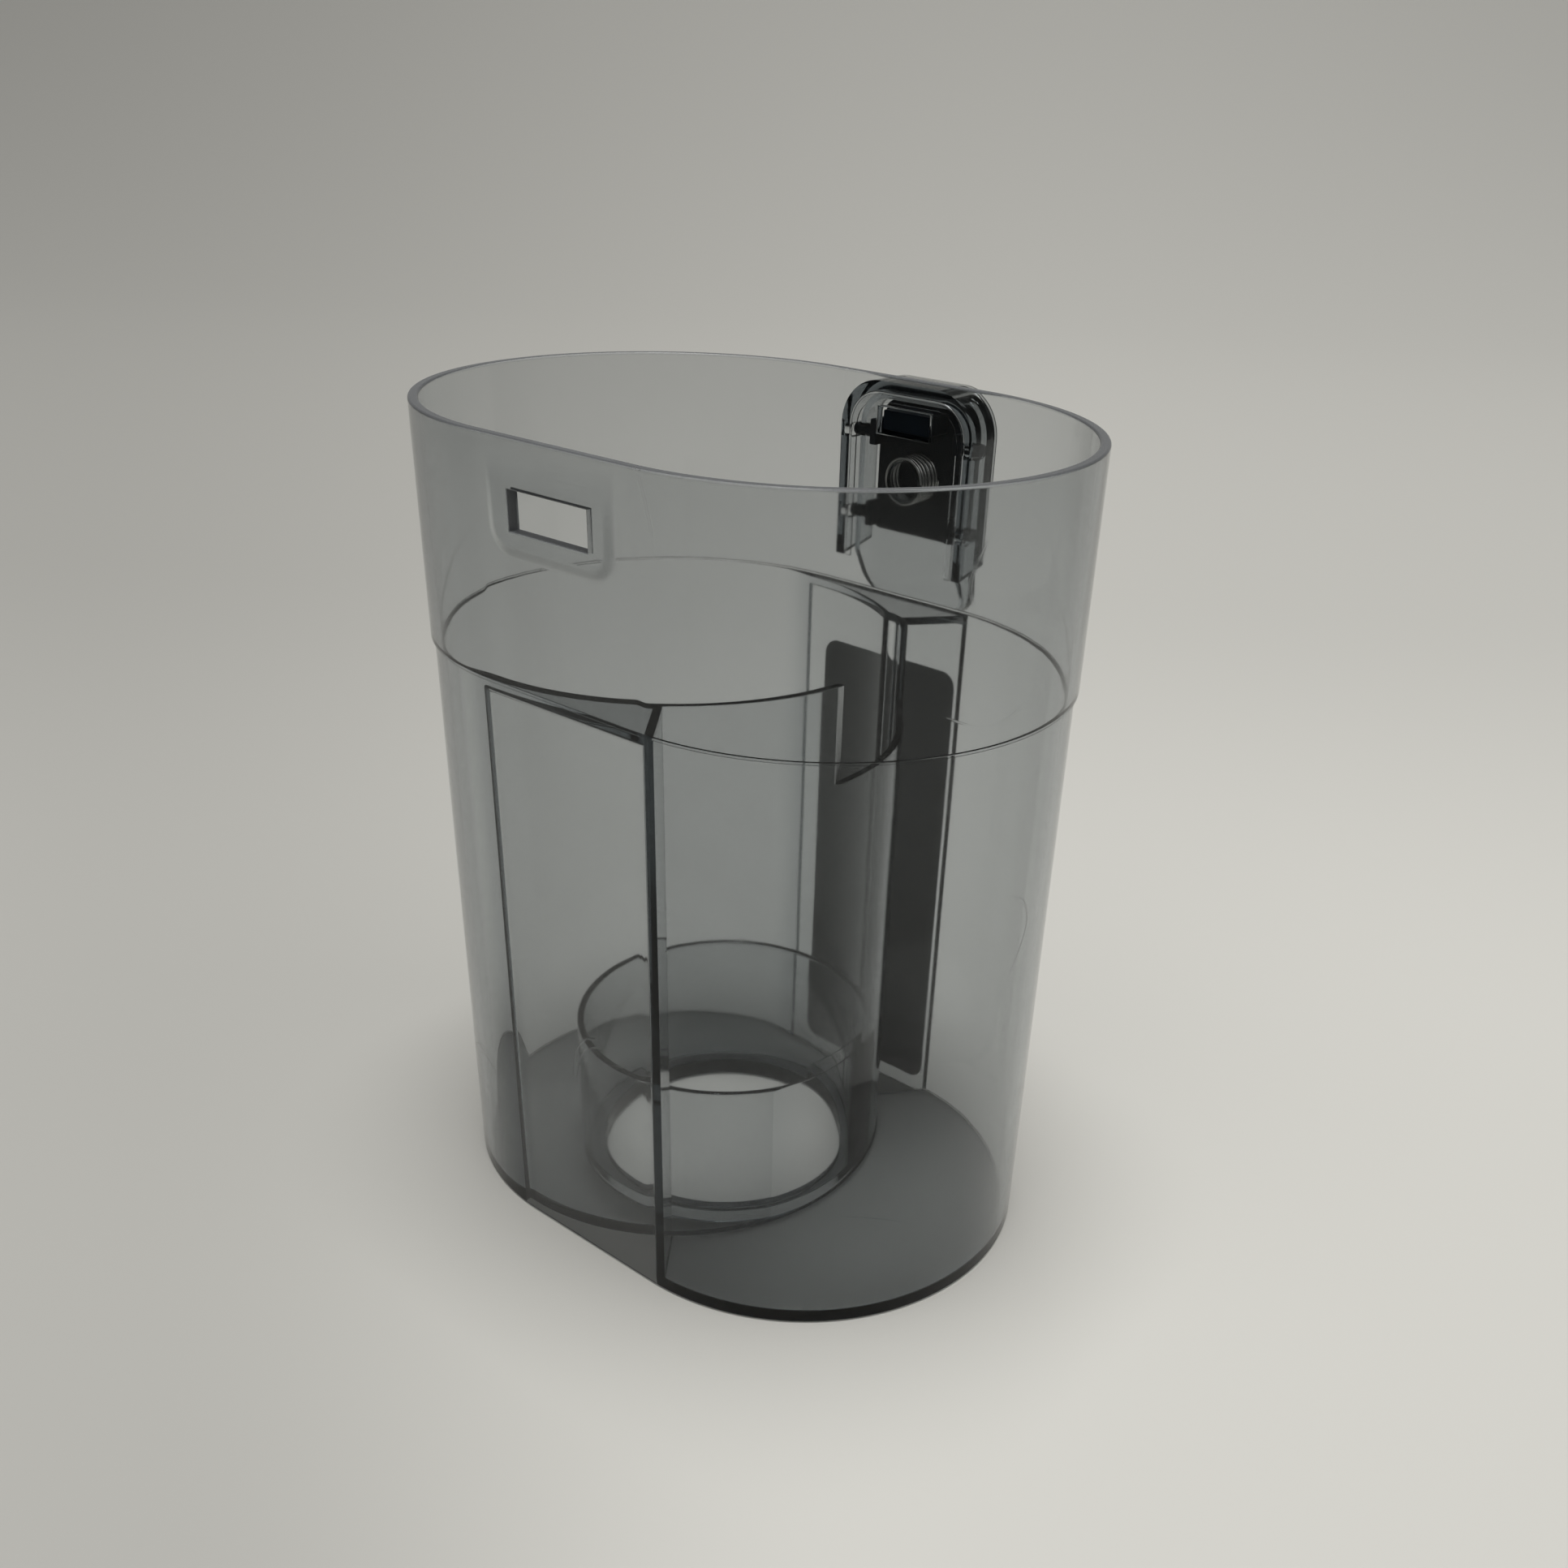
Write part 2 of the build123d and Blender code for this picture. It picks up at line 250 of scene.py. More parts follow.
class StageSettings(PropertyGroup):
    """Floor, light and camera."""

    floor_colour: colour("Colour of the pale floor", (0.80, 0.785, 0.73))
    # The next settings paint light and shade into the floor's colour: how dim the floor is painted away
    # from the object, painted shade to the left and the back, and where the painted pool of light fades
    # out.
    painted_falloff: share("How pale the floor is far before and beside the stage", 0.2)
    left_painted_shade: share("How much the floor darkens to the left", 0.36)
    fan_start: length("How far before the object the darkening to the left fans out from", 0.35)
    back_painted_shade: share("How much the floor darkens to the back", 0.2)
    fade_start: length("Distance where the floor starts to darken", 0.45)
    fade_end: length("Distance where the floor is darkest", 1.3)
    fade_low: length("Height where the backdrop starts to darken", 0.55)
    fade_high: length("Height where the backdrop is darkest", 1.5)
    fade_widen: amount("How much the pale floor widens to the back", 0.75)
    sweep_start: length("Distance behind the object where the floor starts to rise", 1.6)
    sweep_radius: length("Radius of the floor's rise into the backdrop", 5.0)
    surround: colour("Colour of the dim room round the stage", (0.98, 1.0, 1.0))
    surround_strength: amount("Strength of the dim room", 0.1)
    ceiling_width: length("Width of the soft ceiling panel", 14.0)
    ceiling_depth: length("Depth of the soft ceiling panel, from over the object to the front", 9.0)
    ceiling_start: length("How far before the object the ceiling panel starts", 0.4)
    ceiling_height: length("Height of the soft ceiling panel", 6.0)
    ceiling_shift: length("How far the ceiling panel is moved to the right", 1.5)
    ceiling_power: amount("Power of the soft ceiling panel", 268.0)
    top_size: length("Side of the light straight above the object", 2.4)
    top_power: amount("Power of the light above", 200.0)


class Tree:
    """Adds nodes to a node tree and returns their outputs wrapped for arithmetic.

    A socket is named by its own name with underscores, or by its place as in0, in1 and so on.
    """

    def __init__(self, node_tree):
        self.nodes = node_tree.nodes
        self.links = node_tree.links

    def node(self, kind, settings=None, output=0, **sockets):
        made = self.nodes.new(kind)
        for name, value in (settings or {}).items():
            setattr(made, name, value)
        for name, value in sockets.items():
            key = int(name[2:]) if name.startswith("in") else name.replace("_", " ")
            self.feed(made.inputs[key], value)
        return Wire(self, made.outputs[output])

    def feed(self, socket, value):
        if isinstance(value, Wire):
            self.links.new(value.socket, socket)
        else:
            socket.default_value = value


class Wire:
    """One output socket; arithmetic on it adds Math nodes."""

    def __init__(self, tree, socket):
        self.tree = tree
        self.socket = socket

    def maths(self, operation, first, second):
        return self.tree.node("ShaderNodeMath", {"operation": operation}, in0=first, in1=second)

    def __add__(self, other):
        return self.maths("ADD", self, other)

    def __radd__(self, other):
        return self.maths("ADD", other, self)

    def __sub__(self, other):
        return self.maths("SUBTRACT", self, other)

    def __rsub__(self, other):
        return self.maths("SUBTRACT", other, self)

    def __mul__(self, other):
        return self.maths("MULTIPLY", self, other)

    def __rmul__(self, other):
        return self.maths("MULTIPLY", other, self)

    def __truediv__(self, other):
        return self.maths("DIVIDE", self, other)

    def absolute(self):
        return self.maths("ABSOLUTE", self, 0.0)

    def sine(self):
        return self.maths("SINE", self, 0.0)

    def cosine(self):
        return self.maths("COSINE", self, 0.0)

    def fade(self, start, end):
        """Soft step from 0 at start to 1 at end; end may be the smaller."""
        return self.tree.node("ShaderNodeMapRange", {"interpolation_type": "SMOOTHSTEP"}, Value=self,
                              From_Min=start, From_Max=end)


def fresh_material(name):
    material = bpy.data.materials.new(name)
    material.use_nodes = True
    material.node_tree.nodes.clear()
    tree = Tree(material.node_tree)
    output = tree.nodes.new("ShaderNodeOutputMaterial")
    shader = tree.nodes.new("ShaderNodeBsdfPrincipled")
    tree.links.new(shader.outputs[0], output.inputs["Surface"])
    place = tree.node("ShaderNodeTexCoord", output=3)
    return material, tree, shader, place


def shade(tone, factor=1.0):
    return (*(factor * part for part in tone), 1.0)


def blend(tree, factor, first, second):
    return tree.node("ShaderNodeMix", {"data_type": "RGBA"}, output=2, Factor=factor, in6=first, in7=second)


def noise(tree, place, scale, detail, roughness=0.5):
    return tree.node("ShaderNodeTexNoise", Vector=place, Scale=scale, Detail=detail, Roughness=roughness)


def stretched(tree, place, scales):
    return tree.node("ShaderNodeMapping", Vector=place, Scale=scales)


def relief(tree, height, strength, distance, **under):
    return tree.node("ShaderNodeBump", Height=height, Strength=strength, Distance=distance, **under)


def dress(tree, shader, **values):
    for name, value in values.items():
        tree.feed(shader.inputs[name.replace("_", " ")], value)


def line_along(pattern, width):
    """Thin lines where a pattern passes its middle value."""
    return (pattern - 0.5).absolute().fade(width, width / 3)


def clear_smoke(finishes, sizes, shell):
    """Clear smoke plastic, faintly worn, with a matte rim and matte edges in the front window."""
    material, tree, shader, place = fresh_material("clear smoke plastic")
    dress(tree, shader, Transmission_Weight=1.0, IOR=finishes.smoke_ior,
          Specular_Tint=shade((finishes.smoke_gloss,) * 3))
    across, away, up = (tree.node("ShaderNodeSeparateXYZ", output=axis, Vector=place) for axis in range(3))

    def within(value, middle, half):
        return (value - middle).absolute().fade(half + 2 * HAIR, half + HAIR)

    rim = up.fade(sizes.height - finishes.bloom_start, sizes.height - finishes.bloom_full)
    inside = sizes.wall - shell.end_radius
    opening = within(across, shell.body_x, sizes.window_width / 2)
    opening = opening * within(up, sizes.window_z, sizes.window_height / 2)
    window = opening * away.fade(inside + 20 * HAIR, inside + 10 * HAIR)

    haze = noise(tree, place, scale=40.0, detail=3.0, roughness=0.6)
    worn = noise(tree, place, scale=27.0, detail=0.0).fade(0.60, 0.72)
    hairline = line_along(noise(tree, place, scale=13.0, detail=1.0), width=0.0012) * worn
    flow = noise(tree, stretched(tree, place, (60.0, 60.0, 9.0)), scale=1.0, detail=2.0)
    wavy = relief(tree, flow, strength=0.04, distance=0.001)
    dress(tree, shader, Roughness=haze * 0.045 + hairline * 0.15 + rim * 0.2 + 0.012,
          Base_Color=blend(tree, haze, shade((0.97, 0.975, 0.97)), shade((1.0, 1.0, 1.0))),
          Normal=relief(tree, hairline, strength=0.22, distance=0.0001, Normal=wavy))

    matte = tree.node("ShaderNodeBsdfDiffuse", Color=shade(finishes.bloom))
    clear = Wire(tree, shader.outputs[0])
    edge = tree.node("ShaderNodeMixShader", in0=finishes.bloom_share * (rim + window), in1=clear, in2=matte)
    output = tree.nodes["Material Output"]
    tree.feed(output.inputs["Surface"], edge)
    smoke = tree.node("ShaderNodeVolumeAbsorption", Color=shade(finishes.smoke),
                      Density=finishes.smoke_density)
    tree.feed(output.inputs["Volume"], smoke)
    return material


def black_moulding(finishes):
    """Near-black moulded plastic with a fine grain."""
    material, tree, shader, place = fresh_material("black moulding")
    grain = noise(tree, place, scale=2600.0, detail=3.0)
    cloud = noise(tree, place, scale=180.0, detail=3.0)
    dress(tree, shader, Base_Color=blend(tree, cloud, shade(finishes.core), shade(finishes.core, 2.2)),
          Roughness=0.36 + 0.18 * cloud, Normal=relief(tree, grain, strength=0.12, distance=0.0004),
          Specular_IOR_Level=0.15)
    return material


def drawn_steel(finishes):
    """Drawn spring wire with fine streaks."""
    material, tree, shader, place = fresh_material("drawn spring steel")
    streak = noise(tree, stretched(tree, place, (300.0, 4200.0, 300.0)), scale=1.0, detail=4.0)
    dress(tree, shader, Base_Color=blend(tree, streak, shade(finishes.steel, 0.45), shade(finishes.steel)),
          Roughness=0.14 + 0.14 * streak, Metallic=1.0)
    return material


def satin_film(finishes):
    """Dark film with a soft sheen and faint rubbing."""
    material, tree, shader, place = fresh_material("satin film")
    rub = noise(tree, place, scale=140.0, detail=5.0, roughness=0.6)
    fine = noise(tree, place, scale=3000.0, detail=2.0)
    dress(tree, shader, Base_Color=blend(tree, rub, shade(finishes.film, 0.9), shade(finishes.film, 1.15)),
          Roughness=0.42 + 0.16 * rub, Normal=relief(tree, fine, strength=0.05, distance=0.0002))
    return material


def floor_with_painted_light(stage, ahead, beside):
    """Pale floor with painted light: a painted pool of light round the object that falls off into the dim
    room, and painted shade to the left and the back.
    """
    material, tree, shader, place = fresh_material("pale floor")

    def along(direction):
        return tree.node("ShaderNodeVectorMath", {"operation": "DOT_PRODUCT"}, output=1,
                         in0=place, in1=direction)

    front = along(ahead)
    aside = along(beside)
    # Painted pool of light round the object: the floor's colour is pale near it, widening to the back, and
    # dim far before and beside it.
    across = aside.absolute() + stage.fade_widen * front
    near = front.fade(stage.fade_end, stage.fade_start) * across.fade(stage.fade_end, stage.fade_start)
    # Painted shade up the backdrop: the colour darkens with height.
    low = along((0.0, 0.0, 1.0)).fade(stage.fade_high, stage.fade_low)
    # Painted shade to the left, as if the floor were lit from the right, fanning out from before the
    # object.
    depth = stage.fan_start - front
    fan = aside / depth.maths("MAXIMUM", depth, stage.fan_start / 2)
    left = stage.left_painted_shade * fan.fade(*LEFT_SHADE_EDGES)
    # Painted shade towards the back.
    far = stage.back_painted_shade * front.fade(*BACK_SHADE_EDGES)
    # The painted light and shade together set how much of the pale colour shows; the rest is the dim
    # colour.
    painted_light = near * low * ((1.0 - left) * (1.0 - far))
    pale = shade(stage.floor_colour)
    dim = shade(stage.floor_colour, stage.painted_falloff)
    dress(tree, shader, Base_Color=blend(tree, painted_light, dim, pale), Roughness=0.9, Specular_IOR_Level=0.1)
    return material


class Shell:
    """Places of the moulding that follow from its sizes, with the planes its features are drawn on."""

    def __init__(self, sizes):
        self.end_radius = sizes.rim_width / 2
        self.half_straight = sizes.rim_length / 2 - self.end_radius
        self.lower_radius = self.end_radius - sizes.ledge_step
        self.lower_inner = self.lower_radius - sizes.wall
        self.cyclone_inner = self.lower_inner - sizes.set_in
        self.cyclone_outer = self.cyclone_inner + sizes.pocket_wall
        self.wide_inner = self.cyclone_inner + sizes.jog
        self.wide_outer = self.wide_inner + sizes.partition
        self.cyclone_x = sizes.collar_radius + sizes.collar_inset - self.wide_outer
        self.left_x = self.cyclone_x - self.cyclone_inner + self.lower_inner
        self.body_x = self.left_x + self.half_straight
        self.dust_x = self.body_x + self.half_straight
        self.pocket_x = self.left_x - sizes.pocket_lead
        self.web_shift = sizes.web / 2 / sin(sizes.web_angle)
        self.web_ease = [sizes.web_angle + turn for turn in WEB_EASE]
        out, mid = self.end_radius, self.body_x
        self.back = Matrix(((-1, 0, 0, mid), (0, 0, 1, out), (0, 1, 0, 0), (0, 0, 0, 1)))
        self.side = Matrix(((0, 0, 1, mid), (1, 0, 0, out), (0, 1, 0, 0), (0, 0, 0, 1)))
        self.front = Matrix(((1, 0, 0, mid), (0, 0, -1, 0), (0, 1, 0, 0), (0, 0, 0, 1)))

    def oval(self, radius):
        right = arc(self.dust_x, 0.0, radius, -pi / 2, pi / 2)
        left = arc(self.left_x, 0.0, radius, pi / 2, 3 * pi / 2)
        return right + left


def arc(x, y, radius, start, end, steps=ARC_STEPS):
    return [Vector((x + radius * cos(turn), y + radius * sin(turn)))
            for turn in (start + (end - start) * step / steps for step in range(steps + 1))]


def ring(x, y, radius, steps=2 * ARC_STEPS):
    return arc(x, y, radius, 0.0, 2 * pi, steps)[:-1]


def rounded(width, bottom, top, upper, lower, steps=12):
    """Upright outline with its top and foot corners rounded."""
    half = width / 2
    points = []
    for x, y, size, start in ((half, bottom, lower, -pi / 2), (half, top, upper, 0.0),
                              (-half, top, upper, pi / 2), (-half, bottom, lower, pi)):
        if size:
            middle = (x - size if x > 0 else x + size, y - size if y == top else y + size)
            points += arc(*middle, size, start, start + pi / 2, steps)
        else:
            points.append(Vector((x, y)))
    return points


def corners(*points):
    return [Vector(point) for point in points]


def window_outline(width, height, middle):
    x, low, high = width / 2, middle - height / 2, middle + height / 2
    return corners((-x, low), (x, low), (x, high), (-x, high))


def grown(outline, growth):
    """The outline moved outwards; it runs anticlockwise."""
    moved = []
    for before, here, after in zip(outline[-1:] + outline[:-1], outline, outline[1:] + outline[:1]):
        first = (here - before).normalized()
        second = (after - here).normalized()
        out_first = Vector((first.y, -first.x))
        out_second = Vector((second.y, -second.x))
        moved.append(here + (out_first + out_second) * (growth / (1.0 + out_first.dot(out_second))))
    return moved


def softened(outline, size, steps=8):
    """The outline with its corners rounded; each round shrinks to fit the sides beside it."""
    points = []
    for before, here, after in zip(outline[-1:] + outline[:-1], outline, outline[1:] + outline[:1]):
        back, ahead = before - here, after - here
        bend = back.angle(ahead)
        if bend > FLAT_BEND:
            points.append(here)
            continue
        reach = min(size / tan(bend / 2), SIDE_SHARE * back.length, SIDE_SHARE * ahead.length)
        middle = here + (back.normalized() + ahead.normalized()).normalized() * (reach / cos(bend / 2))
        start, end = here + back.normalized() * reach - middle, here + ahead.normalized() * reach - middle
        sweep_angle = start.angle_signed(end)
        for step in range(steps + 1):
            turn = -sweep_angle * step / steps
            points.append(middle + Matrix.Rotation(turn, 2) @ start)
    return points


def levels(start, end, start_round=0.0, end_round=0.0, start_reach=0.0, end_reach=0.0):
    """Depths and growths of a solid's rings; a positive round softens an end, a negative one flares it."""
    rings = []
    if start_reach:
        rings.append((start - start_reach, max(0.0, -start_round)))
    for place, inwards, size in ((start, 1.0, start_round), (end, -1.0, end_round)):
        steps = ROUND_STEPS if size else 0
        part = []
        for step in range(steps + 1):
            turn = pi / 2 * step / steps if steps else pi / 2
            depth = place + inwards * abs(size) * (1.0 - cos(turn))
            part.append((depth, -size * (1.0 - sin(turn))))
        rings += part if inwards > 0 else part[::-1]
    if end_reach:
        rings.append((end + end_reach, max(0.0, -end_round)))
    return rings


def linked(name, data):
    made = bpy.data.objects.new(name, data)
    bpy.context.scene.collection.objects.link(made)
    return made


def solid(name, outline, rings, plane=Matrix.Identity(4)):
    """Closed solid through the outline's copies at each ring's depth and growth, on the given plane."""
    mesh = bmesh.new()
    loops = []
    for depth, growth in rings:
        points = grown(outline, growth) if growth else outline
        loops.append([mesh.verts.new(plane @ Vector((point.x, point.y, depth))) for point in points])
    count = len(outline)
    for lower, upper in zip(loops, loops[1:]):
        for here in range(count):
            beside = (here + 1) % count
            mesh.faces.new((lower[here], lower[beside], upper[beside], upper[here]))
    mesh.faces.new(loops[0][::-1])
    mesh.faces.new(loops[-1])
    bmesh.ops.recalc_face_normals(mesh, faces=mesh.faces)
    data = bpy.data.meshes.new(name)
    mesh.to_mesh(data)
    mesh.free()
    return linked(name, data)


def bake_modifiers(piece):
    graph = bpy.context.evaluated_depsgraph_get()
    graph.update()
    data = bpy.data.meshes.new_from_object(piece.evaluated_get(graph), depsgraph=graph)
    data.name = piece.name
    piece.modifiers.clear()
    piece.data = data


def combine(piece, tool, operation):
    step = piece.modifiers.new(operation.lower(), "BOOLEAN")
    step.operation = operation
    step.solver = "MANIFOLD"
    step.object = tool
    bpy.context.view_layer.update()
    bake_modifiers(piece)
    bpy.data.objects.remove(tool)
    if len(piece.data.polygons) == 0:
        raise RuntimeError("a feature of " + piece.name + " left nothing")


def add(piece, *shape):
    combine(piece, solid(*shape), "UNION")


def cut(piece, *shape):
    combine(piece, solid(*shape), "DIFFERENCE")


def keep_common(piece, *shape):
    combine(piece, solid(*shape), "INTERSECT")


def smooth(piece, sharp=radians(30.0)):
    mesh = bmesh.new()
    mesh.from_mesh(piece.data)
    bmesh.ops.remove_doubles(mesh, verts=mesh.verts, dist=1e-6)
    bmesh.ops.dissolve_degenerate(mesh, edges=mesh.edges, dist=1e-6)
    mesh.to_mesh(piece.data)
    mesh.free()
    piece.data.shade_smooth()
    piece.data.set_sharp_from_angle(angle=sharp)
    weigh = piece.modifiers.new("weighted normals", "WEIGHTED_NORMAL")
    weigh.mode = "FACE_AREA"
    weigh.weight = 100
    weigh.keep_sharp = True
    bpy.context.view_layer.update()
    bake_modifiers(piece)


def settle(piece, material, body, slot, *nodes):
    piece.data.materials.clear()
    piece.data.materials.append(material)
    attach(piece, body)
    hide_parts(*nodes)


def crossing(x, shift, turn, middle_x, radius):
    """Where the ray from (x + shift, 0) at the given turn leaves the circle round (middle_x, 0)."""
    away = x + shift - middle_x
    reach = -away * cos(turn) + sqrt(radius ** 2 - (away * sin(turn)) ** 2)
    return Vector((x + shift + reach * cos(turn), reach * sin(turn)))


def turn_about(x, point):
    return atan2(point.y, point.x - x)


def build_body(sizes, shell):
    """Oval body, set in below the ledge, with a rounded rim and base."""
    soft = sizes.edge_round / 4
    lower = levels(0.0, sizes.ledge_height - soft, sizes.base_round)
    rings = [(depth, growth - sizes.ledge_step) for depth, growth in lower]
    rings += levels(sizes.ledge_height, sizes.height, soft, sizes.rim_round)
    return solid("clear_shell", shell.oval(shell.end_radius), rings)


def add_pad(sizes, shell, piece):
    """Pad round the front window; its rise fades out below the rim."""
    over = sizes.pad_top + 2 * REACH
    outline = rounded(sizes.pad_width, sizes.pad_bottom, over, sizes.pad_corner, sizes.pad_corner)
    rings = [(shell.end_radius - sizes.wall / 2, sizes.pad_blend / 2)]
    for step in range(SLOPE_STEPS + 1):
        part = step / SLOPE_STEPS
        rise = sizes.pad_rise * ease(part, 0.0, 1.0)
        rings.append((shell.end_radius + rise, sizes.pad_blend * (0.5 - part)))
    pad = solid("pad", outline, rings, shell.front)
    plane = -2 * shell.end_radius
    inner, low = plane + sizes.wall / 2, sizes.pad_bottom - REACH
    side = corners((inner, sizes.pad_top), (inner, low), (plane - sizes.pad_rise, low))
    for step in range(EASE_STEPS + 1):
        height = sizes.pad_fade + (sizes.pad_top - sizes.pad_fade) * step / EASE_STEPS
        rise = sizes.pad_rise * (1.0 - PAST_FLUSH * ease(height, sizes.pad_fade, sizes.pad_top))
        side.append(Vector((plane - rise, height)))
    keep_common(pad, "pad_side", side, levels(-sizes.pad_width, sizes.pad_width), shell.side)
    combine(piece, pad, "UNION")


def cap_frame(latch):
    """Width, top and corner radius of the button's cap in the shroud."""
    rim = latch.shroud_wall + latch.gap
    return latch.shroud_width - 2 * rim, latch.shroud_top - rim, latch.shroud_corner - rim


def add_shroud(sizes, latch, shell, piece):
    """Arched shroud with a slanted foot, a low rib, the spring's boss and the guide pegs' slots."""
    soft = latch.shroud_round
    outer = rounded(latch.shroud_width, latch.shroud_bottom, latch.shroud_top, latch.shroud_corner, 0.0)
    add(piece, "shroud", outer, levels(-sizes.wall / 2, latch.shroud_depth, 0.0, soft), shell.back)
    wall, low = latch.shroud_wall, latch.shroud_bottom - REACH
    inner = rounded(latch.shroud_width - 2 * wall, low, latch.shroud_top - wall,
                    latch.shroud_corner - wall, 0.0)
    hollow = levels(0.0, latch.shroud_depth, sizes.edge_round, -soft, 0.0, REACH)
    cut(piece, "hollow", inner, hollow, shell.back)
    slope = latch.shroud_slant / latch.shroud_depth
    far = latch.shroud_depth + REACH
    foot = corners((0.0, latch.shroud_bottom), (0.0, low), (far, low),
                   (far, latch.shroud_bottom + slope * far))
    half = latch.shroud_width / 2 + REACH
    cut(piece, "slant", foot, levels(-half, half), shell.side)
    width, top, corner = cap_frame(latch)
    rib = rounded(width, latch.shroud_bottom, top, corner, 0.0)
    rib_levels = levels(-sizes.wall / 2, latch.rib_height, 0.0, sizes.edge_round / 2)
    rib_solid = solid("rib", rib, rib_levels, shell.back)
    inset = latch.rib_width
    inside = rounded(width - 2 * inset, low, top - inset, corner - inset, 0.0)
    cut(rib_solid, "rib_inside", inside, levels(-sizes.wall, REACH), shell.back)
    combine(piece, rib_solid, "UNION")
    boss = ring(0.0, latch.spring_z, latch.spring_diameter / 2 - latch.wire - latch.spring_fit, 64)
    boss_levels = levels(-sizes.wall / 2, latch.boss_height, 0.0, sizes.edge_round)
    add(piece, "boss", boss, boss_levels, shell.back)
    slot_half = latch.peg_radius + latch.peg_clearance
    reach = latch.shroud_width / 2 - wall + latch.peg_depth + latch.peg_clearance
    near = latch.peg_out - latch.travel - latch.peg_clearance / 2
    far = latch.peg_out + latch.peg_clearance / 2
    for height in (latch.peg_upper, latch.peg_lower):
        slot = arc(far, height, slot_half, -pi / 2, pi / 2, 16)
        slot += arc(near, height, slot_half, pi / 2, 3 * pi / 2, 16)
        cut(piece, "slot", slot, levels(-reach, reach), shell.side)


def ease(value, start, end):
    part = min(1.0, max(0.0, (value - start) / (end - start)))
    return part * part * (3 - 2 * part)


def cyclone_outline(sizes, shell):
    """Cyclone chamber: wide between the webs, narrower before each pocket, then easing into the oval."""
    points = []
    count = 6 * ARC_STEPS
    for step in range(count):
        turn = 2 * pi * step / count
        away = min(turn, 2 * pi - turn)
        radius = shell.wide_inner - sizes.jog * ease(away, *shell.web_ease)
        spot = Vector((shell.cyclone_x + radius * cos(turn), radius * sin(turn)))
        own = crossing(shell.cyclone_x, 0.0, turn, shell.left_x, shell.lower_inner)
        points.append(spot.lerp(own, ease(away, *WALL_EASE)))
    return points


def hollow_chambers(sizes, shell, piece):
    """Mouth above the ledge, the cyclone and dust chambers below it, and the two roofed pockets."""
    soft = sizes.edge_round
    ledge = sizes.ledge_height
    upper = levels(ledge, sizes.height, soft, -sizes.rim_round, 0.0, REACH)
    cut(piece, "mouth", shell.oval(shell.end_radius - sizes.wall), upper)
    chamber = levels(sizes.floor, ledge, 2 * soft, -soft, 0.0, REACH)
    cut(piece, "cyclone", cyclone_outline(sizes, shell), chamber)
    turn = sizes.web_angle
    near = crossing(shell.left_x, shell.web_shift, turn, shell.cyclone_x, shell.wide_outer)
    far = crossing(shell.left_x, shell.web_shift, turn, shell.dust_x, shell.lower_inner)
    around = turn_about(shell.cyclone_x, near)
    about = turn_about(shell.dust_x, far)
    dust = arc(shell.dust_x, 0.0, shell.lower_inner, -about, about)
    dust += arc(shell.cyclone_x, 0.0, shell.wide_outer, around, -around)
    cut(piece, "dust", dust, chamber)
    flat = shell.lower_radius - sizes.panel
    tip = shell.left_x - shell.web_shift
    meet = crossing(shell.left_x, -shell.web_shift, turn, shell.cyclone_x, shell.cyclone_outer + sizes.jog)
    start = acos((shell.pocket_x - shell.cyclone_x) / shell.cyclone_outer)
    stop = turn_about(shell.cyclone_x, meet)
    wall_arc = []
    for step in range(POCKET_STEPS + 1):
        around = start + (stop - start) * step / POCKET_STEPS
        radius = shell.cyclone_outer + sizes.jog * (1.0 - ease(around, *shell.web_ease))
        wall_arc.append(Vector((shell.cyclone_x + radius * cos(around), radius * sin(around))))
    corner = Vector((tip + flat * cos(turn) / sin(turn), flat))
    back = softened([corner, Vector((shell.pocket_x, flat))] + wall_arc, sizes.pocket_round)
    mirrored = [Vector((point.x, -point.y)) for point in back[::-1]]
    top = ledge - sizes.roof
    size = sizes.roof_round
    bed = sizes.panel / 3
    edge = corners((flat + bed, top + bed), (flat - size, top + bed))
    edge += arc(flat - size, top - size, size, pi / 2, 0.0, 10) + corners((flat + bed, top - size))
    span = levels(shell.pocket_x - bed - shell.body_x, corner.x - shell.body_x)
    for hand, outline in ((1.0, back), (-1.0, mirrored)):
        cut(piece, "pocket", outline, levels(0.0, top, -soft, 0.0, REACH))
        strip = [Vector((hand * point.x - shell.end_radius, point.y)) for point in edge]
        add(piece, "roof_round", strip, span, shell.side)


def add_collar(sizes, piece):
    """Collar, the raised seat inside it and the port through the floor."""
    soft = 2 * sizes.edge_round
    top = sizes.collar_height
    collar = levels(sizes.floor / 2, top, 0.0, soft)
    add(piece, "collar", ring(0.0, 0.0, sizes.collar_radius), collar)
    inside = ring(0.0, 0.0, sizes.collar_radius - sizes.collar_wall)
    seat = levels(sizes.seat_height, top, soft, -soft, 0.0, REACH)
    cut(piece, "collar_inside", inside, seat)
    port = levels(0.0, sizes.seat_height, -soft, -soft, REACH, REACH)
    cut(piece, "port", ring(0.0, 0.0, sizes.port_radius), port)


